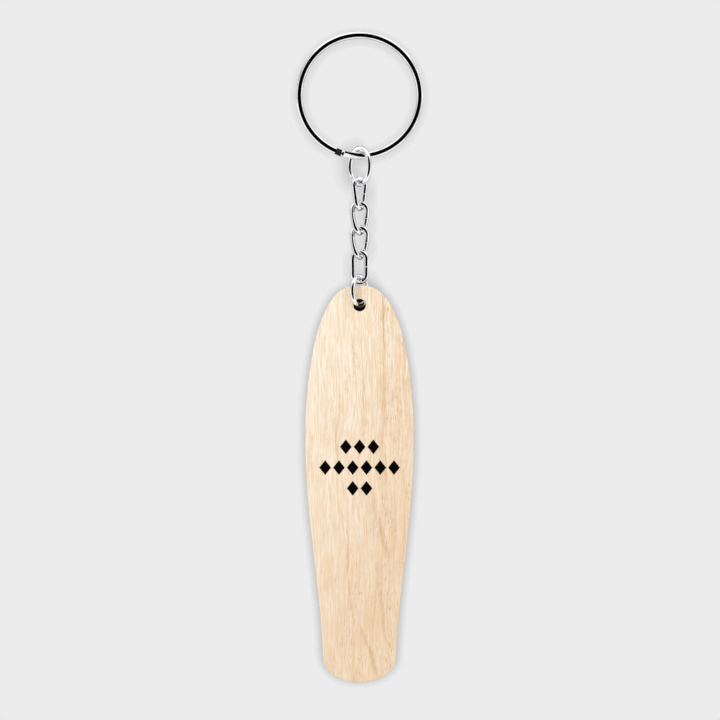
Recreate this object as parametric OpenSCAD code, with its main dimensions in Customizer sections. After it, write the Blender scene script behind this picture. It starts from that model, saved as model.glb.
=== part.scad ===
// Keychain: a split ring, a connector ring, four curb links, a jump ring and a printed plywood tag.
// It hangs down from the split ring's centre, which is the origin. The printed face looks along -Y.

/* [Split ring] */
// Outer diameter of the split ring
ring_od = 25; // [20:0.5:35]
// Width of the flat wire, from the ring's outside to its inside
ring_band = 1.3; // [1:0.1:2]
// Thickness of the flat wire, across one coil
ring_wire = 0.9; // [0.6:0.05:1.2]
// Gap between the two coils
coil_gap = 0.06; // [0.04:0.01:0.1]
// Width of the chamfer on the wire's four edges
ring_chamfer = 0.15; // [0.05:0.05:0.2]
// Where the front coil ends, in degrees left of the ring's lowest point
ring_end_angle = 15; // [10:1:60]
// Degrees over which the wire crosses from the front coil to the back coil
ring_cross_angle = 8; // [8:1:24]

/* [Connector ring] */
// Outer diameter of the ring that joins the split ring to the chain
connector_od = 8; // [7:0.1:11]
// Diameter of its wire
connector_wire = 1.0; // [0.8:0.05:1.2]
// Turn of the ring out of the tag's plane, right side forward, in degrees
connector_turn = 57; // [50:1:75]

/* [Chain] */
// Outer width of a link before it is twisted
link_w = 3.9; // [3.7:0.1:5]
// Outer length of a link
link_l = 6.85; // [6:0.05:9]
// Diameter of the links' wire
link_wire = 1.0; // [0.7:0.05:1.1]
// Turn of each link's top bend out of the tag's plane, right side forward, in degrees
link_turn = 20; // [15:1:50]
// Turn of the last link's lower end, right side forward, in degrees
last_link_turn = 28; // [20:1:34]

/* [Jump ring] */
// Diameter of the jump ring's wire
jump_wire = 0.9; // [0.7:0.05:1]

/* [Tag] */
// Length of the tag
tag_l = 77.8; // [60:0.2:100]
// Greatest width of the tag
tag_w = 21.3; // [16:0.1:28]
// Width that the long taper closes to at the tail
tail_w = 14.2; // [10:0.1:20]
// Distance from the top of the tag to its widest point
nose_l = 30; // [20:0.5:40]
// Depth of the round at the tail's end
tail_round = 4.9; // [2:0.1:8]
// Thickness of the front ply and of the back ply
face_ply = 0.55; // [0.3:0.05:1]
// Thickness of the core ply
core_ply = 0.7; // [0.3:0.05:1.2]
// Diameter of the hole for the jump ring
hole_d = 2.4; // [2.2:0.1:4]
// Distance from the top of the tag to the hole's centre
hole_inset = 3.85; // [3.4:0.05:6]

/* [Printed motif] */
// Width of one diamond
mark_w = 2.3; // [1:0.1:2.6]
// Height of one diamond
mark_h = 2.9; // [1:0.1:3.8]
// Distance between diamonds along a row
mark_pitch = 2.7; // [2.7:0.05:3.2]
// Distance between rows
row_pitch = 4.07; // [4:0.01:6]
// Distance from the top of the tag to the middle row
motif_drop = 35.7; // [25:0.1:45]
// Thickness of the ink film
ink = 0.03; // [0.02:0.01:0.1]

/* [Clearances] */
// Gap between two wires that hang on each other
wire_gap = 0.06; // [0.04:0.01:0.15]
// Gap between the split ring's edges and the connector ring
band_gap = 0.1; // [0.06:0.02:0.2]
// Room beside the jump ring's wire in the hole, which sets how far the ring can turn
slant_play = 0.15; // [0.14:0.01:0.3]
// Room above the jump ring's wire where it leaves the hole
hang_gap = 0.1; // [0.1:0.01:0.11]
// Room between the tag's top edge and the last link
top_play = 0.25; // [0.2:0.05:1]
// Gap between a wire ring's two cut ends
cut_gap = 0.06; // [0.04:0.01:0.2]

/* [Hidden] */
$fn = 64;
nose_power = 2.6;        // fullness of the nose, 2 for a plain half ellipse
mark_rows = [3, 6, 2];   // diamonds in each row, from the top
connector_cut = 150;     // where the connector ring is cut, in degrees from its right side
jump_cut = 35;           // where the jump ring is cut, in degrees from its right side
wire_sides = 16;         // sides of the links' swept wire
bend_steps = 18;         // steps round each bend of a link
side_steps = 8;          // steps along each side of a link

// split ring
ring_ir = ring_od / 2 - ring_band;
coil_y = (ring_wire + coil_gap) / 2;
ring_half_t = coil_y + ring_wire / 2;

// connector ring: its inner circle rests on the flat wire's two inner edges
connector_r = (connector_od - connector_wire) / 2;
band_reach = ring_half_t / sin(connector_turn);
connector_bore_r = connector_r - connector_wire / 2;
connector_z = -ring_ir + band_gap - sqrt(pow(connector_bore_r, 2) - pow(band_reach, 2));

// chain: each link's top bend passes over the wire that it hangs on
link_r = link_wire / 2;
link_bend = link_w / 2 - link_r;
link_half = link_l / 2 - link_r;
link_1_z = connector_z - connector_r + connector_wire / 2 + link_r + wire_gap - link_half;
link_pitch = 2 * link_half - link_wire - wire_gap;
function link_z(i) = link_1_z - (i - 1) * link_pitch;
// turn of a link's bends: each lies across the bend or wire that it hangs on
function link_top(i) = i == 1 ? 90 - connector_turn : -link_turn;
function link_bottom(i) = i == 4 ? -last_link_turn : 90 - link_turn;

// jump ring: it turns towards the tag's plane until its wire fills a straight hole through the plies
tag_t = 2 * face_ply + core_ply;
jump_half = jump_wire / 2;
clear_d = hole_d - 2 * slant_play;
jump_slant = acos(jump_wire / norm([tag_t, clear_d])) - atan2(tag_t, clear_d);
jump_turn = 90 - jump_slant;
jump_r = (hole_inset + top_play + link_wire + wire_gap + jump_half) / 2;
jump_z = link_z(4) - link_half + link_r + jump_half + wire_gap - jump_r;
// where the wire leaves the hole: how far aside, and how far up its curve has risen
mouth_side = tag_t / 2 * tan(jump_slant);
mouth_rise = jump_r - sqrt(pow(jump_r, 2) - pow(tag_t / 2 / cos(jump_slant), 2));
mouth_room = hole_d / 2 - (jump_half + hang_gap) / cos(jump_slant);
hole_z = jump_z - jump_r + mouth_rise - sqrt(pow(mouth_room, 2) - pow(mouth_side, 2));
tag_top = hole_z + hole_inset;
taper_l = tag_l - nose_l;
tail_start = tag_l - tail_round;

// half width of the tag at a depth below its top, past the nose: half a cosine wave
function taper_half(d) = tail_w / 2 + (tag_w - tail_w) / 4 * (1 + cos(180 * (d - nose_l) / taper_l));

// right half of the tag's outline, from the top's centre to the bottom's centre
function half_outline() = concat(
    [for (a = [0:3:90]) [tag_w / 2 * pow(sin(a), 2 / nose_power), -nose_l * (1 - cos(a))]],
    [for (k = [1:20]) let (d = nose_l + (tail_start - nose_l) * k / 20) [taper_half(d), -d]],
    [for (a = [6:6:90]) [taper_half(tail_start) * cos(a), -tail_start - tail_round * sin(a)]]);

// outline of the whole tag, with the left half mirrored and the two shared points left out
function tag_outline() = let (right = half_outline(), n = len(right))
    concat(right, [for (i = [n - 2:-1:1]) [-right[i][0], right[i][1]]]);

// ---- swept wire ----

// Closed solid through rings of points; the last ring joins the first when looped
module skin(rings, looped) {
    n = len(rings);
    m = len(rings[0]);
    spans = looped ? n : n - 1;
    sides = [for (i = [0:spans - 1], j = [0:m - 1])
        let (a = i * m, b = ((i + 1) % n) * m, k = (j + 1) % m)
        each [[a + j, b + k, a + k], [a + j, b + j, b + k]]];
    ends = looped ? [] : [[for (j = [0:m - 1]) j], [for (j = [m - 1:-1:0]) (n - 1) * m + j]];
    polyhedron(points = [for (ring = rings) each ring], faces = concat(sides, ends), convexity = 10);
}

function unit(v) = v / norm(v);

// Round section of radius r at point p, square to direction t, with its sides counted from direction b
function round_section(p, t, b, r, sides) = let (u = unit(t), n = unit(cross(u, b)), c = cross(n, u))
    [for (j = [0:sides - 1]) p + r * (cos(360 * j / sides) * n + sin(360 * j / sides) * c)];

// ---- split ring ----

// Flat wire's section in (radial, Y), with chamfered edges
function band_section() = let (w = ring_band / 2, t = ring_wire / 2, c = ring_chamfer)
    [[w, -t + c], [w, t - c], [w - c, t], [-w + c, t], [-w, t - c], [-w, -t + c], [-w + c, -t], [w - c, -t]];

// Y of the wire's centre at an angle counted from its front end, with a smooth crossing between coils
function coil_offset(a, coil) = let (s = min(1, max(0, (a - coil) / ring_cross_angle)))
    coil_y * (2 * s * s * (3 - 2 * s) - 1);

module split_ring() {
    end_room = 1;      // degrees between each end of the wire and the crossing
    coil_steps = 70;
    cross_steps = 8;
    coil = 360 - ring_cross_angle - end_room;
    angles = concat([for (k = [0:coil_steps]) coil * k / coil_steps],
                    [for (k = [1:cross_steps - 1]) coil + ring_cross_angle * k / cross_steps],
                    [for (k = [0:coil_steps]) coil + ring_cross_angle + coil * k / coil_steps]);
    color("silver")
    skin([for (a = angles)
        let (turn = a - ring_end_angle, r = ring_od / 2 - ring_band / 2, y = coil_offset(a, coil))
        [for (s = band_section()) [(r + s[0]) * sin(turn), y + s[1], -(r + s[0]) * cos(turn)]]], false);
}

// ---- wire rings ----

// Round wire ring that stands upright, turned about Z, with its cut at an angle from the right
module wire_ring(radius, wire, turn, z, cut_at) {
    cut = cut_gap / radius * 180 / PI;
    translate([0, 0, z]) rotate([0, 0, turn]) rotate([90, 0, 0])
        rotate([0, 0, cut_at + cut / 2])
        rotate_extrude(angle = 360 - cut) translate([radius, 0]) circle(d = wire);
}

module connector_ring() {
    color("gainsboro")
    wire_ring(connector_r, connector_wire, -connector_turn, connector_z, connector_cut);
}

module jump_ring() {
    color("gainsboro")
    wire_ring(jump_r, jump_wire, jump_turn, jump_z, jump_cut);
}

// ---- curb links ----

// Centre line of an untwisted link in (x, z): two half circles joined by straight sides
function link_path(arc_n, side_n) = let (a = link_bend, h = link_half - link_bend) concat(
    [for (k = [0:arc_n]) [a * cos(180 * k / arc_n), h + a * sin(180 * k / arc_n)]],
    [for (k = [1:side_n - 1]) [-a, h - 2 * h * k / side_n]],
    [for (k = [0:arc_n]) [-a * cos(180 * k / arc_n), -h - a * sin(180 * k / arc_n)]],
    [for (k = [1:side_n - 1]) [a, -h + 2 * h * k / side_n]]);

// Turn about Z at a height within the link, even from its top bend to its bottom bend
function link_twist(z, top, bottom) = (top + bottom) / 2 + (top - bottom) / 2 * z / link_half;

module curb_link(i) {
    path = [for (p = link_path(bend_steps, side_steps))
        let (t = link_twist(p[1], link_top(i), link_bottom(i))) [p[0] * cos(t), p[0] * sin(t), p[1]]];
    n = len(path);
    color("silver")
    translate([0, 0, link_z(i)])
    skin([for (k = [0:n - 1])
        let (t = link_twist(path[k][2], link_top(i), link_bottom(i)),
             along = path[(k + 1) % n] - path[(k + n - 1) % n])
        round_section(path[k], along, [-sin(t), cos(t), 0], link_r, wire_sides)], true);
}

// ---- tag ----

// One ply of the tag, with its front face at y
module ply(y, t) {
    difference() {
        translate([0, y + t, tag_top]) rotate([90, 0, 0]) linear_extrude(height = t) polygon(tag_outline());
        translate([0, 0, hole_z]) rotate([90, 0, 0]) cylinder(d = hole_d, h = 2 * tag_t, center = true);
    }
}

module tag_front_ply() {
    color("burlywood")
    ply(-tag_t / 2, face_ply);
}

module tag_core_ply() {
    color("peru")
    ply(-tag_t / 2 + face_ply, core_ply);
}

module tag_back_ply() {
    color("burlywood")
    ply(tag_t / 2 - face_ply, face_ply);
}

// ---- printed motif ----

module diamond() {
    polygon([[mark_w / 2, 0], [0, mark_h / 2], [-mark_w / 2, 0], [0, -mark_h / 2]]);
}

// Rows of ink diamonds on the front face, each row centred on the tag
module printed_motif() {
    color("black")
    translate([0, -tag_t / 2, tag_top - motif_drop]) rotate([90, 0, 0])
    linear_extrude(height = ink)
    for (row = [0:len(mark_rows) - 1], k = [0:mark_rows[row] - 1])
        translate([(k - (mark_rows[row] - 1) / 2) * mark_pitch, (1 - row) * row_pitch]) diamond();
}

split_ring();
connector_ring();
curb_link(1);  // curb_link_1
curb_link(2);  // curb_link_2
curb_link(3);  // curb_link_3
curb_link(4);  // curb_link_4
jump_ring();
tag_front_ply();
tag_core_ply();
tag_back_ply();
printed_motif();
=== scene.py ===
import math

import bpy
import numpy as np
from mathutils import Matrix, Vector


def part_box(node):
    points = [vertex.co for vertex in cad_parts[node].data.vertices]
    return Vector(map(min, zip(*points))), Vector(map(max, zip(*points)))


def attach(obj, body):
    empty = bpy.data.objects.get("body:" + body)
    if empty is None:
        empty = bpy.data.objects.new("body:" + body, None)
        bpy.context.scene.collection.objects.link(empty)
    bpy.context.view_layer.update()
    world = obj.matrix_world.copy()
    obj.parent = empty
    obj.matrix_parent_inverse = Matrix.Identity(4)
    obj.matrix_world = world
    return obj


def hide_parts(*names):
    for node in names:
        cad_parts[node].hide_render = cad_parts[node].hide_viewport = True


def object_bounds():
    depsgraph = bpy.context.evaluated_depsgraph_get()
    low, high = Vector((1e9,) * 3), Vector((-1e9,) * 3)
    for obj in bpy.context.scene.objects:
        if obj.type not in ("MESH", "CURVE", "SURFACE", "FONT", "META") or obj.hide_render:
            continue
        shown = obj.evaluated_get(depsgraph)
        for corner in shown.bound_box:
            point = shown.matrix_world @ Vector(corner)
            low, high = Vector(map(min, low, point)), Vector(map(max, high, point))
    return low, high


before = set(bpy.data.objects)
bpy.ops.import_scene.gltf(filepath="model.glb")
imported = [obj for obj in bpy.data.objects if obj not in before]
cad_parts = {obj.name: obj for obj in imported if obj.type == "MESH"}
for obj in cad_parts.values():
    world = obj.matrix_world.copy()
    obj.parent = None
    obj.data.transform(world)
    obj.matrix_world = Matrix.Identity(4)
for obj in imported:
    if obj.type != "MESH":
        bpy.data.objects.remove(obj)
cad_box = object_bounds()

# ---- Camera ----
# A long lens, level and square to the printed face, so that the wires show almost no perspective.
# The view is a square that takes in the whole keychain with an even margin above and below.
MM = 0.001
VIEW_SIDE = 141.3 * MM
VIEW_X = 0.08 * MM
VIEW_Z = -51.9 * MM
LENS = 200.0
SENSOR = 36.0

camera = bpy.data.objects.new("camera", bpy.data.cameras.new("camera"))
bpy.context.scene.collection.objects.link(camera)
camera.data.lens = LENS
camera.data.sensor_width = SENSOR
camera.location = (VIEW_X, -VIEW_SIDE * LENS / SENSOR, VIEW_Z)
camera.rotation_euler = (math.pi / 2, 0, 0)
bpy.context.scene.camera = camera


# ---- Split ring ----
# Two coils of flat spring steel wire with rounded edges, wound side by side and nickel plated.
# Near its lowest point the wire crosses from the front coil to the back coil, beside the front end.
class Value:
    """An output socket of a node tree. Arithmetic on values adds Math nodes, and make() adds any
    other node."""

    def __init__(self, tree, socket=None):
        self.tree = tree
        self.socket = socket

    def make(self, kind, settings=None, inputs=None, output=0):
        """A new node of that kind: settings first, then the number or link of each named input."""
        node = self.tree.nodes.new("ShaderNode" + kind)
        for key, setting in (settings or {}).items():
            setattr(node, key, setting)
        for key, given in (inputs or {}).items():
            if isinstance(given, Value):
                self.tree.links.new(given.socket, node.inputs[key])
            else:
                node.inputs[key].default_value = given
        return Value(self.tree, node.outputs[output])

    def math(self, operation, first, second=0.0, clamp=False):
        return self.make("Math", {"operation": operation, "use_clamp": clamp}, {0: first, 1: second})

    def __add__(self, other):
        return self.math("ADD", self, other)

    def __sub__(self, other):
        return self.math("SUBTRACT", self, other)

    def __rsub__(self, other):
        return self.math("SUBTRACT", other, self)

    def __mul__(self, other):
        return self.math("MULTIPLY", self, other)

    __radd__ = __add__
    __rmul__ = __mul__

    def magnitude(self):
        return self.math("ABSOLUTE", self)

    def at_most(self, limit):
        return self.math("MINIMUM", self, limit)

    def clamped(self):
        return self.math("ADD", self, 0.0, clamp=True)

    def between(self, low, high):
        """0 below low, 1 above high and a smooth rise in between."""
        settings = {"interpolation_type": "SMOOTHSTEP"}
        return self.make("MapRange", settings, {"Value": self, "From Min": low, "From Max": high})

    def mix(self, first, second):
        """The first colour where this value is 0, the second where it is 1. The Mix node's two
        colours are its sockets 6 and 7."""
        return self.make("Mix", {"data_type": "RGBA"}, {"Factor": self, 6: first, 7: second}, output=2)

    def noise(self, x, y, z, detail=2.0, roughness=0.5):
        """Smooth noise, mostly between 0.3 and 0.7, at a point given as three values."""
        point = self.make("CombineXYZ", inputs={0: x, 1: y, 2: z})
        inputs = {"Vector": point, "Scale": 1.0, "Detail": detail, "Roughness": roughness}
        return self.make("TexNoise", inputs=inputs)


def new_material(name):
    """An empty material, its shader node and a Value to start its maths from."""
    material = bpy.data.materials.new(name)
    material.use_nodes = True
    return material, material.node_tree.nodes["Principled BSDF"], Value(material.node_tree)


def plug(shader, name, value):
    """Sets a shader input to a number or colour, or links a Value to it."""
    if isinstance(value, Value):
        value.tree.links.new(value.socket, shader.inputs[name])
    else:
        shader.inputs[name].default_value = value


def axes(vector):
    """The three parts of a vector, each as a Value."""
    return [vector.make("SeparateXYZ", inputs={0: vector}, output=axis) for axis in range(3)]


def bump(height, strength):
    """A normal for the shader's Normal socket, from a height in mm."""
    return height.make("Bump", inputs={"Strength": strength, "Distance": MM, "Height": height})


def nickel_plate(name, bright, dull, shaded_span=None):
    """Bright plating over drawn wire: hairlines along the wire, soft waves from bending it, and
    faint handling haze. It reads the piece's UV map, which counts mm along the wire and round it.
    Between the two places given in the last argument the colour is painted black: painted shade where the
    wire crosses from one coil to the other."""
    hairline_depth, wave_depth, shade_fade = 0.0002, 0.004, 0.15   # mm
    material, shader, start = new_material(name)
    along, around, _ = axes(start.make("UVMap", {"uv_map": "wire"}))
    hairline = start.noise(along * 0.9, around * 26.0, 0.0, detail=3.0)
    wave = start.noise(along * 0.8, around * 1.1, 4.0, detail=1.0)
    haze = start.noise(along * 0.35, around * 0.5, 9.0, detail=3.0).between(0.42, 0.7)
    colour = haze.mix(bright, dull)
    # Painted shade: the crossing between the coils is drawn black in the plating's colour.
    if shaded_span:
        first, last = shaded_span
        entered = along.between(first, first + shade_fade)
        left = along.between(last - shade_fade, last)
        colour = (entered * (1.0 - left) * 0.97).mix(colour, (0.0, 0.0, 0.0, 1))
    plug(shader, "Metallic", 1.0)
    plug(shader, "Base Color", colour)
    plug(shader, "Roughness", 0.06 + haze * 0.07 + hairline * 0.05)
    plug(shader, "Normal", bump(hairline * hairline_depth + wave * wave_depth, strength=1.0))
    return material


def unit(vectors):
    """Each vector divided by its own length."""
    return vectors / np.linalg.norm(vectors, axis=-1, keepdims=True)


def smoothstep(share):
    """Rises from 0 to 1 with level ends: three times the square less twice the cube."""
    return share * share * (3 - 2 * share)


def whole_turn(steps):
    """Angles evenly spaced round a circle, without the last, which would meet the first."""
    return np.linspace(0, 2 * np.pi, steps, endpoint=False)


def distance_run(line):
    """Distance in mm from the first point of a line to each of its points."""
    return np.concatenate([[0.0], np.cumsum(np.linalg.norm(np.diff(line, axis=0), axis=1))]) / MM


def skin(name, points, looped, material):
    """A smooth skin over a grid of points: each row is one section, closed round on itself. The
    last row meets the first when looped, and both ends get a flat cap otherwise. The UV map counts
    mm along the middle line of the sections, and round the halfway section."""
    rows, sides = points.shape[:2]
    spans = rows if looped else rows - 1
    row, side = np.meshgrid(np.arange(spans), np.arange(sides), indexing="ij")
    corners = [(row, side), (row, side + 1), (row + 1, side + 1), (row + 1, side)]
    quads = np.stack([(r % rows) * sides + s % sides for r, s in corners], axis=-1).reshape(-1, 4)
    flat = points.reshape(-1, 3)
    first = flat[quads[0]]
    outward = first.mean(axis=0) - points[0].mean(axis=0)
    flipped = np.cross(first[2] - first[0], first[3] - first[1]) @ outward < 0
    faces = quads[:, ::-1].tolist() if flipped else quads.tolist()
    if not looped:
        start_cap = list(range(sides))
        end_cap = [(rows - 1) * sides + s for s in range(sides)][::-1]
        faces += [start_cap, end_cap] if flipped else [start_cap[::-1], end_cap[::-1]]
    mesh = bpy.data.meshes.new(name)
    mesh.from_pydata(flat, [], faces)
    mesh.polygons.foreach_set("use_smooth", np.arange(len(faces)) < len(quads))
    along = distance_run(np.vstack([points.mean(axis=1), points[:1].mean(axis=1)]))
    girth = distance_run(np.vstack([points[rows // 2], points[rows // 2][:1]]))
    pairs = [np.stack([along[r], girth[s]], axis=-1) for r, s in corners]
    pairs = np.stack(pairs[::-1] if flipped else pairs, axis=2).reshape(-1, 2)
    uv = np.zeros((len(mesh.loops), 2))
    uv[:len(pairs)] = pairs
    mesh.uv_layers.new(name="wire").data.foreach_set("uv", uv.ravel())
    mesh.materials.append(material)
    mesh.validate()
    piece = bpy.data.objects.new(name, mesh)
    bpy.context.scene.collection.objects.link(piece)
    return piece


def rounded_run(length, edge, steps):
    """Places along a wire of that length, closer together at its ends, and how far the section
    shrinks at each place: by a quarter circle of radius edge at both ends, and by nothing between."""
    quarter = np.linspace(0, np.pi / 2, 4)
    near = edge * (1 - np.cos(quarter))
    far = length - near[::-1]
    inset = edge * (1 - np.sin(quarter))
    run = np.concatenate([near, np.linspace(near[-1], far[0], steps + 2)[1:-1], far])
    return run, np.concatenate([inset, np.zeros(steps), inset[::-1]])


RING_BAND = 1.3 * MM      # width of the flat wire, outside to inside
RING_WIRE = 0.9 * MM      # thickness of the flat wire
RING_BURR = 0.12 * MM     # rounding of its cut ends
OUTER_POWER = 1.7         # 2 for an oval edge, more for a squarer one, less for a sharper one
INNER_POWER = 2.0
RING_END = 15.0           # front end, in degrees left of the lowest point
RING_CROSS = 8.0          # degrees of the crossing between the coils
END_ROOM = 1.0            # degrees between each end of the wire and the crossing
COIL = 360 - RING_CROSS - END_ROOM
END_TWIST = 27.0          # degrees that the front end is turned outward, so that a key slides under
END_TWIST_RUN = 24.0      # degrees of the ring over which the twist dies away
WIRE_SIDES = 28           # points round a ring wire's section
ring_low, ring_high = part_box("split_ring")
ring_r = (ring_high.x - ring_low.x) / 2 - RING_BAND / 2
coil_y = (ring_high.y - ring_low.y) / 2 - RING_WIRE / 2


def split_ring():
    """Superellipse section, sharper on its outer side, carried twice round a circle. Across the
    crossing, y follows a smoothstep from the front coil to the back coil. The front end is twisted
    about the wire's own line."""
    run, shrink = rounded_run(math.radians(2 * COIL + RING_CROSS) * ring_r, RING_BURR, steps=900)
    angle = np.degrees(run / ring_r)
    coil = coil_y * (2 * smoothstep(np.clip((angle - COIL) / RING_CROSS, 0, 1)) - 1)
    turn = np.radians(angle - RING_END)[:, None]
    around = whole_turn(WIRE_SIDES)
    c, s = np.cos(around), np.sin(around)
    power = 2 / np.where(c > 0, OUTER_POWER, INNER_POWER)
    across = (RING_BAND / 2 - shrink[:, None]) * np.sign(c) * np.abs(c) ** power
    deep = (RING_WIRE / 2 - shrink[:, None]) * np.sign(s) * np.abs(s) ** power
    twist = np.radians(END_TWIST * smoothstep(np.clip(1 - angle / END_TWIST_RUN, 0, 1)))[:, None]
    r = ring_r + across * np.cos(twist) + deep * np.sin(twist)
    y = coil[:, None] + deep * np.cos(twist) + across * np.sin(twist)
    return np.stack([r * np.sin(turn), y, -r * np.cos(turn)], axis=-1)


mm_per_degree = math.radians(ring_r) / MM
# The stretch of wire across the crossing, in mm along it, where painted shade turns the plating black.
crossing = (COIL * mm_per_degree, (COIL + RING_CROSS) * mm_per_degree)
spring_plate = nickel_plate("spring_plate", bright=(0.83, 0.83, 0.84, 1), dull=(0.62, 0.62, 0.64, 1),
                            shaded_span=crossing)
ring = skin("split_ring_wire", split_ring(), looped=False, material=spring_plate)
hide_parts("split_ring")
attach(ring, "key_ring")


# ---- Connector ring and jump ring ----
# Round nickel-plated wire bent to a ring and closed until its two cut ends almost meet.
# The connector ring joins the split ring to the chain; the jump ring passes through the tag's hole.
CONNECTOR_WIRE = 1.0 * MM
JUMP_WIRE = 0.9 * MM
WIRE_BURR = 0.07 * MM     # rounding of the cut ends
CUT_GAP = 0.06 * MM
UP = np.array([0.0, 0.0, 1.0])


def box_corners(node):
    """The low and the high corner of a CAD node's box."""
    low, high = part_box(node)
    return np.array(low), np.array(high)


def wire_ring(node, wire, side, cut_at):
    """Circle of that wire in an upright plane, sized, placed and turned to fill the node's box.
    side is 1 where the ring's right side comes backward and -1 where it comes forward. Its ends
    meet cut_at degrees round from its right side."""
    low, high = box_corners(node)
    half = (high - low) / 2 - wire / 2
    radius = half[2]
    turn = side * math.atan2(half[1], half[0])
    sideways = np.array([math.cos(turn), math.sin(turn), 0.0])
    run, shrink = rounded_run(2 * np.pi * radius - CUT_GAP, WIRE_BURR, steps=240)
    angle = (math.radians(cut_at) + (run + CUT_GAP / 2) / radius)[:, None]
    radial = (np.cos(angle) * sideways + np.sin(angle) * UP)[:, None, :]
    section = whole_turn(WIRE_SIDES)[:, None]
    offset = np.cos(section) * radial + np.sin(section) * np.cross(sideways, UP)
    return (low + high) / 2 + radius * radial + (wire / 2 - shrink)[:, None, None] * offset


wire_plate = nickel_plate("wire_plate", bright=(0.85, 0.85, 0.86, 1), dull=(0.66, 0.66, 0.68, 1))
connector_line = wire_ring("connector_ring", CONNECTOR_WIRE, side=-1, cut_at=150)
connector = skin("connector_ring_wire", connector_line, looped=False, material=wire_plate)
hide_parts("connector_ring")
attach(connector, "connector")

jump_line = wire_ring("jump_ring", JUMP_WIRE, side=1, cut_at=35)
jump = skin("jump_ring_wire", jump_line, looped=False, material=wire_plate)
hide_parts("jump_ring")
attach(jump, "jump_ring")


# ---- Curb links ----
# Four links of the same round wire, each bent to an oval, closed at one side and twisted,
# so that its two bends lie across the bends of its neighbours.
LINK_WIRE = 1.0 * MM
LINK_W = 3.9 * MM         # outer width before the twist
LINK_STEPS = 260          # sections along a link, and more across its seam
SEAM_STEPS = 25
LINK_SIDES = 24           # points round each section
SEAM_DEPTH = 0.05 * MM    # groove where the wire's ends meet
SEAM_W = 0.07 * MM
# Degrees that each link is turned at its top and at its bottom bend, from the top link down.
LINK_TURNS = [(33.0, 70.0), (-20.0, 70.0), (-20.0, 70.0), (-20.0, -28.0)]


def curb_link(node, top, bottom):
    """Round section carried round two half circles joined by straight sides. Each point is turned
    about the link's upright axis by an angle that runs evenly from the top bend to the bottom
    bend. The seam's groove is a bell curve in the section's radius."""
    low, high = box_corners(node)
    half = (high[2] - low[2] - LINK_WIRE) / 2
    bend = (LINK_W - LINK_WIRE) / 2
    side = half - bend
    arc = np.pi * bend
    seam_at = 2 * arc + 3 * side
    t = np.linspace(0, 2 * arc + 4 * side, LINK_STEPS, endpoint=False)
    t = np.sort(np.concatenate([t, seam_at + np.linspace(-3, 3, SEAM_STEPS) * SEAM_W]))
    low_t = t - arc - 2 * side
    legs = [t < arc, t < arc + 2 * side, t < 2 * arc + 2 * side]
    x = np.select(legs, [bend * np.cos(t / bend), -bend, -bend * np.cos(low_t / bend)], bend)
    z = np.select(legs, [side + bend * np.sin(t / bend), side - (t - arc),
                         -side - bend * np.sin(low_t / bend)], low_t - arc - side)
    turn = np.radians((top + bottom) / 2 + (top - bottom) / 2 * z / half)
    path = np.stack([x * np.cos(turn), x * np.sin(turn), z + (low[2] + high[2]) / 2], axis=1)
    along = unit(np.roll(path, -1, axis=0) - np.roll(path, 1, axis=0))
    flat_normal = np.stack([-np.sin(turn), np.cos(turn), np.zeros(len(turn))], axis=1)
    out = unit(np.cross(along, flat_normal))
    over = np.cross(out, along)[:, None]
    section = whole_turn(LINK_SIDES)[:, None]
    reach = (LINK_WIRE / 2 - SEAM_DEPTH * np.exp(-((t - seam_at) / SEAM_W) ** 2))[:, None, None]
    return path[:, None] + reach * (np.cos(section) * out[:, None] + np.sin(section) * over)


for number, (top, bottom) in enumerate(LINK_TURNS, start=1):
    node = f"curb_link_{number}"
    link = skin(node + "_wire", curb_link(node, top, bottom), looped=True, material=wire_plate)
    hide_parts(node)
    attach(link, f"link_{number}")


# ---- Wooden tag ----
# Thin three-ply birch, cut to a longboard outline and drilled by a laser, which leaves the cut walls
# brown. The face plies have their grain along the tag and the core has its grain across it.
TAIL_W = 14.2 * MM        # width that the taper closes to
NOSE_L = 30.0 * MM        # from the top to the widest point
NOSE_POWER = 2.6          # 2 for a plain half ellipse, more for a fuller nose
TAIL_ROUND = 4.9 * MM     # depth of the round at the tail's end
HOLE_D = 2.4 * MM
HOLE_DROP = 3.85 * MM     # from the tag's top to the hole's centre
LIP = 0.08 * MM           # rounding of the tag's outer edges, from sanding
GLUE_LINE = 0.03 * MM     # rounding where two plies meet
SCORCH_FADE = 0.25 * MM   # how far the laser's browning reaches over the faces
tag_low, tag_high = box_corners("tag_front_ply")
tag_l = tag_high[2] - tag_low[2]
tag_w = tag_high[0] - tag_low[0]
hole_centre = np.array([0.0, tag_high[2] - HOLE_DROP])   # x and z


def taper_half(depth):
    """Half width past the nose at a depth below the top: half a cosine wave from the full width to
    the tail's width."""
    wave = 1 + np.cos(np.pi * (depth - NOSE_L) / (tag_l - NOSE_L))
    return TAIL_W / 2 + (tag_w - TAIL_W) / 4 * wave


def tag_outline():
    """The tag's outline as (x, z) points: superellipse nose, cosine taper and half-ellipse tail down
    the right side, then the same mirrored."""
    nose = np.linspace(0, np.pi / 2, 90)
    taper = np.linspace(NOSE_L, tag_l - TAIL_ROUND, 90)[1:]
    tail = np.linspace(0, np.pi / 2, 40)[1:]
    nose_half = tag_w / 2 * np.sin(nose) ** (2 / NOSE_POWER)
    tail_half = taper_half(tag_l - TAIL_ROUND) * np.cos(tail)
    x = np.concatenate([nose_half, taper_half(taper), tail_half])
    tail_depth = tag_l - TAIL_ROUND + TAIL_ROUND * np.sin(tail)
    depth = np.concatenate([NOSE_L * (1 - np.cos(nose)), taper, tail_depth])
    right = np.stack([x, tag_high[2] - depth], axis=1)
    left = right[1:-1][::-1] * [-1, 1]
    return np.vstack([right, left])


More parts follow.
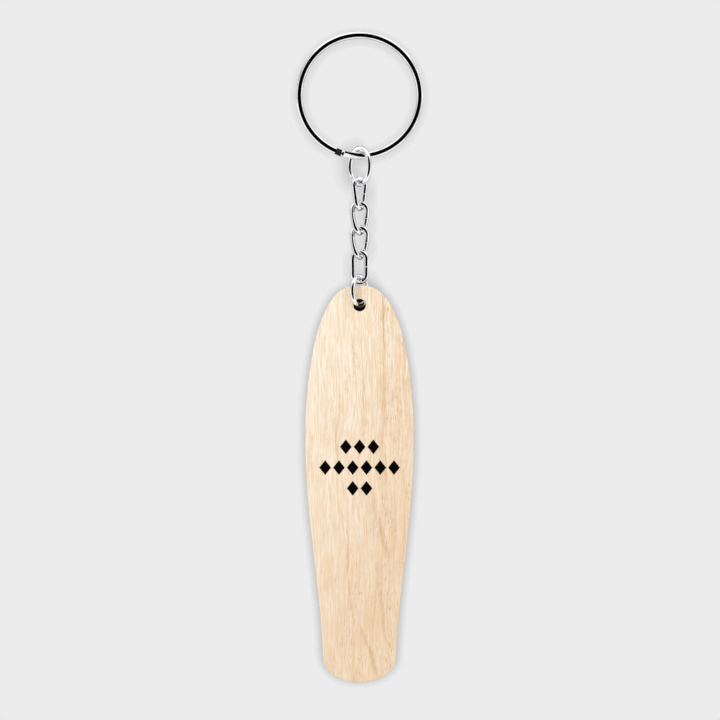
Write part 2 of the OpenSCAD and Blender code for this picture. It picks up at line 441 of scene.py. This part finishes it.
def ply(name, node, front_edge, back_edge, material):
    """One ply as a closed band of profiles: each profile runs over the front face from the hole to
    the outline, down the outer wall, back over the rear face and up the hole's wall. The edges are
    quarter circles of the radii given. The attribute burn is 1 on the cut walls and fades to 0 on
    the faces."""
    low, high = box_corners(node)
    outline = tag_outline()
    tangent = unit(np.roll(outline, -1, axis=0) - np.roll(outline, 1, axis=0))
    outward = np.stack([-tangent[:, 1], tangent[:, 0]], axis=1)
    outward *= np.sign(np.sum(outward * (outline - outline.mean(axis=0)), axis=1, keepdims=True))
    spoke = unit(outline - hole_centre)
    quarter = np.linspace(0, np.pi / 2, 5)
    heat = np.linspace(0, 1, len(quarter))
    columns = []
    for edge, face_y, inward in ((front_edge, low[1], 1), (back_edge, high[1], -1)):
        inset = edge * (1 - np.sin(quarter))
        y = face_y + inward * edge * (1 - np.cos(quarter))
        rim = [(hole_centre + spoke * (HOLE_D / 2 + i), depth, 0.5 + h / 2)
               for i, depth, h in zip(inset, y, heat)]
        lip = [(outline - outward * i, depth, h) for i, depth, h in zip(inset, y, heat)]
        inner = hole_centre + spoke * (HOLE_D / 2 + edge + SCORCH_FADE)
        outer = outline - outward * (edge + SCORCH_FADE)
        middle = [(inner + (outer - inner) * share, face_y, 0.0) for share in np.linspace(0, 1, 10)]
        face = rim[::-1] + middle + lip
        columns += face if inward > 0 else face[::-1]
    profile = [np.column_stack([xz[:, 0], np.full(len(xz), y), xz[:, 1]]) for xz, y, _ in columns]
    piece = skin(name, np.stack(profile, axis=1), looped=True, material=material)
    burn = np.tile([b for _, _, b in columns], len(outline)).astype(np.float32)
    piece.data.attributes.new("burn", "FLOAT", "POINT").data.foreach_set("value", burn)
    return piece


# Brown veins in the figure: across and down the face, in mm, at the top and at the foot of each,
# and half its width.
VEINS = [((4.6, 2.0), (5.0, 40.0), 0.6),
         ((2.1, 41.0), (5.9, 55.0), 0.9),
         ((0.4, 18.0), (0.6, 30.0), 0.4),
         ((-4.3, 22.0), (-4.5, 35.0), 0.4),
         ((-2.8, 48.0), (-1.5, 64.0), 0.4),
         ((3.6, 58.0), (4.8, 70.0), 0.6),
         ((-0.2, 67.0), (4.0, 78.0), 0.7)]
BAND_BROWN = (0.80, 0.56, 0.34, 1)
FIBRE_BROWN = (0.74, 0.51, 0.29, 1)
VEIN_BROWN = (0.62, 0.38, 0.17, 1)
STREAK_BROWN = (0.68, 0.44, 0.22, 1)
DASH_BROWN = (0.70, 0.46, 0.25, 1)
PORE_BROWN = (0.46, 0.26, 0.11, 1)
CHARRED = (0.05, 0.022, 0.010, 1)
SINGED = (0.16, 0.075, 0.03, 1)


def vein_mask(start, x, z):
    """Sum of the veins: each is a soft line along a wavering straight course, fading at both ends."""
    veins = 0.0
    depth = z * -1.0
    for (x_top, top), (x_foot, foot), breadth in VEINS:
        lean = (x_foot - x_top) / (foot - top)
        bend = start.noise(x_top + foot, 0.0, z * 0.08, detail=2.0) * 3.0 - 1.5
        off = x + bend - ((depth - top) * lean + x_top)
        line = 1.0 - off.magnitude().between(0.0, breadth)
        begun = depth.between(top - 2.0, top + 3.0)
        ended = depth.between(foot - 3.0, foot + 2.0)
        veins = veins + line * begun * (1.0 - ended)
    return veins.clamped()


def birch(name, place, pale, warm, across=False):
    """Birch veneer, worked out in mm from its place in the tree. Soft bands of figure, fine fibres,
    short dashes and dark pores all run along the grain; the tone warms towards the tail and the
    right; the cut walls are browned by the laser."""
    material, shader, start = new_material(name)
    spot = start.make("TexCoord", output="Object")
    inputs = {"Vector": spot, "Location": place, "Scale": (1 / MM, 1 / MM, 1 / MM)}
    x, y, z = axes(start.make("Mapping", inputs=inputs))
    if across:
        x, z = z, x
    # The grain wanders slowly and ripples a little, and everything that follows it reads drift.
    wander = start.noise(x * 0.12, y * 0.2, z * 0.045, detail=1.0)
    ripple = start.noise(x * 0.5, y * 0.2, z * 0.25, detail=1.0)
    drift = x + wander * 4.0 + ripple * 0.25
    cloud = start.noise(drift * 0.35, y * 0.5, z * 0.05, detail=2.0)
    band = start.noise(drift * 1.1, y * 0.5, z * 0.03, detail=3.0, roughness=0.6).between(0.42, 0.66)
    streak = start.noise(drift * 1.7, y * 2.0, z * 0.07, detail=4.0, roughness=0.6).between(0.5, 0.68)
    fibre = start.noise(drift * 2.8, y * 9.0, z * 0.10, detail=4.0, roughness=0.85)
    hair = start.noise(drift * 5.0, y * 9.0, z * 0.28, detail=2.0)
    pore = start.noise(drift * 4.0, y * 5.5, z * 0.7, detail=2.0).between(0.57, 0.68)
    dash = start.noise(drift * 3.2, y * 7.0, z * 0.6 + 40.0, detail=3.0, roughness=0.7)
    # The right side and the tail show more figure, the colour runs darker and warmer towards them, and
    # pores come in patches.
    unevenness = start.noise(x * 0.2, 0.0, z * 0.05, detail=1.0) * 1.4
    figured = (x * 0.10 - z * 0.009 + unevenness).between(0.6, 1.6)
    patch = start.noise(x * 0.3, y * 0.2, z * 0.12 + 80.0, detail=1.0).between(0.42, 0.6)
    # Colour darker and warmer towards the tail and the right side.
    tone = (x * 0.021 - z * 0.0145 + cloud * 0.5).between(-0.1, 1.35)
    veins = vein_mask(start, x, z) * (0.14 + fibre.between(0.38, 0.62) * 0.62)
    colour = tone.mix(pale, warm)
    for share, brown in ((band * (0.08 + 0.16 * figured), BAND_BROWN),
                         (fibre.between(0.40, 0.60) * 0.48, FIBRE_BROWN),
                         (hair.between(0.44, 0.58) * 0.40, FIBRE_BROWN),
                         (veins, VEIN_BROWN),
                         (streak * (0.06 + 0.40 * figured), STREAK_BROWN),
                         (dash.between(0.5, 0.66) * (0.08 + 0.34 * figured), DASH_BROWN),
                         (pore * patch * (0.20 + 0.42 * figured), PORE_BROWN)):
        colour = share.mix(colour, brown)
    burn = start.make("Attribute", {"attribute_name": "burn"}, output="Fac")
    char = start.noise(x * 1.5, y * 3.0, z * 1.5, detail=3.0)
    scorch = (burn + (char - 0.5) * 0.5).between(0.45, 0.95)
    burnt = char.between(0.35, 0.7).mix(CHARRED, SINGED)
    plug(shader, "Base Color", scorch.mix(colour, burnt))
    plug(shader, "Roughness", 0.5 + 0.18 * fibre)
    plug(shader, "Normal", bump(fibre * 0.010 - pore * 0.02, strength=0.6))
    return material


FACE_PALE = (1.0, 0.93, 0.80, 1)
FACE_WARM = (0.84, 0.69, 0.53, 1)
CORE_PALE = (0.55, 0.36, 0.2, 1)
CORE_WARM = (0.42, 0.26, 0.13, 1)
front = birch("front_veneer", (0.0, 0.0, 37.0), FACE_PALE, FACE_WARM)
core = birch("core_veneer", (11.0, 5.0, 9.0), CORE_PALE, CORE_WARM, across=True)
back = birch("back_veneer", (0.0, 12.0, 37.0), FACE_PALE, FACE_WARM)
TAG = [("tag_front_veneer", "tag_front_ply", LIP, GLUE_LINE, front, "face_veneer"),
       ("tag_core_veneer", "tag_core_ply", GLUE_LINE, GLUE_LINE, core, "core_veneer"),
       ("tag_back_veneer", "tag_back_ply", GLUE_LINE, LIP, back, "face_veneer")]
for name, node, front_edge, back_edge, material, slot in TAG:
    board = ply(name, node, front_edge, back_edge, material)
    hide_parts(node)
    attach(board, "tag")


# ---- Printed motif ----
# Rows of plain diamonds in matt black ink, one thin film on the front face.
# The film is slightly uneven and follows the fibres beneath it.
INK_DEEP = (0.0008, 0.0008, 0.0008, 1)
INK_THIN = (0.003, 0.0027, 0.0024, 1)


def printed_ink(name):
    """Near-black ink, mottled where the fibres took more or less of it."""
    material, shader, start = new_material(name)
    x, _, z = axes(start.make("TexCoord", output="Object"))
    fibre = start.noise(x * (9.0 / MM), 0.0, z * (0.6 / MM), detail=3.0)
    plug(shader, "Base Color", fibre.between(0.3, 0.8).mix(INK_DEEP, INK_THIN))
    plug(shader, "Roughness", 0.5 + 0.2 * fibre)
    plug(shader, "Specular IOR Level", 0.04)
    plug(shader, "Normal", bump(fibre * 0.006, strength=0.5))
    return material


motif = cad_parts["printed_motif"]
motif.data.materials.clear()
motif.data.materials.append(printed_ink("motif_ink"))


# ---- Studio ----
# Even white surroundings with a dark panel behind the camera, which draws the dark line along each
# wire, and smaller dark cards at the right, at the left and behind.
# A pale floor far below catches no shadow in the front view.
BACKGROUND = 0.836        # what the camera sees past the object
SOFT_LIGHT = 1.0          # what lights the matt surfaces from all sides
# Direction, half angles of the core and of the soft rim, in degrees, and darkness.
PANELS = [((0.0, -1.0, 0.0), 46.0, 62.0, 1.0),
          ((0.93, 0.0, 0.37), 8.0, 26.0, 0.5),
          ((-0.93, 0.0, 0.37), 10.0, 30.0, 0.6),
          ((0.0, 1.0, 0.0), 40.0, 56.0, 0.9)]
KEY_PLACE = (-0.55, -0.75, 0.45)
KEY_AIM = (0.0, 0.0, -0.05)
FLOOR_Z = -0.45
FLOOR_R = 3.0
FLOOR_SIDES = 96

world = bpy.data.worlds.new("studio")
bpy.context.scene.world = world
world.use_nodes = True
world.cycles.sampling_method = "NONE"
tree = world.node_tree
tree.nodes.clear()
start = Value(tree)
dx, dy, dz = axes(start.make("TexCoord", output="Generated"))
# What the metal mirrors: white, a little brighter overhead, less the dark panels.
mirrored = dz.between(-0.5, 0.5) * 0.35 + 1.12
for (to_x, to_y, to_z), core_angle, rim_angle, darkness in PANELS:
    toward = dx * to_x + dy * to_y + dz * to_z
    panel = toward.between(math.cos(math.radians(rim_angle)), math.cos(math.radians(core_angle)))
    mirrored = mirrored * (1.0 - panel * darkness)
is_camera = start.make("LightPath", output="Is Camera Ray")
is_glossy = start.make("LightPath", output="Is Glossy Ray")
light = is_glossy * mirrored + (1.0 - is_glossy) * SOFT_LIGHT
strength = is_camera * BACKGROUND + (1.0 - is_camera) * light
shade = start.make("Background", inputs={"Color": (1, 1, 1, 1), "Strength": strength})
output = tree.nodes.new("ShaderNodeOutputWorld")
tree.links.new(shade.socket, output.inputs[0])

key = bpy.data.objects.new("key_light", bpy.data.lights.new("key_light", "AREA"))
bpy.context.scene.collection.objects.link(key)
key.data.shape = "DISK"
key.data.size = 0.5
key.data.energy = 3.0
key.visible_glossy = False
key.location = KEY_PLACE
aim = np.array(KEY_AIM) - np.array(KEY_PLACE)
tilt = math.acos(-aim[2] / np.linalg.norm(aim))
key.rotation_euler = (tilt, 0, math.atan2(aim[0], -aim[1]) + math.pi)


def stage_face(name, corners, material):
    """One flat face with that material, set on the stage."""
    mesh = bpy.data.meshes.new(name)
    mesh.from_pydata(corners, [], [tuple(range(len(corners)))])
    mesh.materials.append(material)
    face = bpy.data.objects.new(name, mesh)
    bpy.context.scene.collection.objects.link(face)
    face.visible_glossy = False
    return face


material, shader, start = new_material("pale_floor")
plug(shader, "Base Color", (0.82, 0.82, 0.82, 1))
plug(shader, "Roughness", 0.9)
angle = whole_turn(FLOOR_SIDES)
floor = np.stack([FLOOR_R * np.cos(angle), FLOOR_R * np.sin(angle), np.full(FLOOR_SIDES, FLOOR_Z)], axis=1)
stage_face("floor", floor.tolist(), material)


# ---- Contact shade ----
# A soft shade close behind the object, as on a white wall, and a darker one right behind the tag's
# hole, where little light gets in. Both show from the front only, and only where pieces are near.
SHADE_GAP = 0.35 * MM     # from the object's rearmost point to the wall's shade
SHADE_REACH = 3.4 * MM
HOLE_GAP = 0.05 * MM      # from the tag's back to the hole's shade
HOLE_REACH = 2.6 * MM
HOLE_SIDES = 32
HALO_STARTS = 8.0 * MM    # heights above the hole between which the halo grows to the tag's strength
HALO_FULL = 2.0 * MM
WALL = [(-0.2, -0.3), (0.2, -0.3), (0.2, 0.2), (-0.2, 0.2)]   # x and z, wide enough for every pose


def shade_card(name, corners, reach, gain, darkest):
    """A flat black card facing forward. Its opacity is gain times how closed in each point is, up
    to darkest: 0 in the open, and more where pieces within reach block the light. It is stronger
    beside the tag than beside the thin wires."""
    material, shader, start = new_material(name)
    closed = 1.0 - start.make("AmbientOcclusion", {"samples": 16}, {"Distance": reach}, output="AO")
    facing = 1.0 - start.make("NewGeometry", output="Backfacing")
    _, _, z = axes(start.make("TexCoord", output="Object"))
    by_tag = z.between(hole_centre[1] + HALO_STARTS, hole_centre[1] + HALO_FULL)
    depth = (closed * gain).at_most(darkest) * (0.6 + 0.4 * by_tag)
    plug(shader, "Base Color", (0.0, 0.0, 0.0, 1))
    plug(shader, "Specular IOR Level", 0.0)
    plug(shader, "Alpha", (depth * facing).clamped())
    card = stage_face(name, corners, material)
    card.visible_diffuse = False
    card.visible_shadow = False
    card.visible_transmission = False


wall_y = cad_box[1].y + SHADE_GAP
wall = [(x, wall_y, z) for x, z in WALL]
shade_card("contact_shade", wall, SHADE_REACH, gain=2.3, darkest=0.4)

angle = whole_turn(HOLE_SIDES)
disc_r = HOLE_D / 2 + HOLE_GAP
disc_y = np.full(HOLE_SIDES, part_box("tag_back_ply")[1].y + HOLE_GAP)
disc = np.stack([disc_r * np.cos(angle), disc_y, hole_centre[1] + disc_r * np.sin(angle)], axis=1)
shade_card("hole_shade", disc.tolist(), HOLE_REACH, gain=1.5, darkest=1.0)

bpy.context.scene.view_settings.view_transform = "Standard"
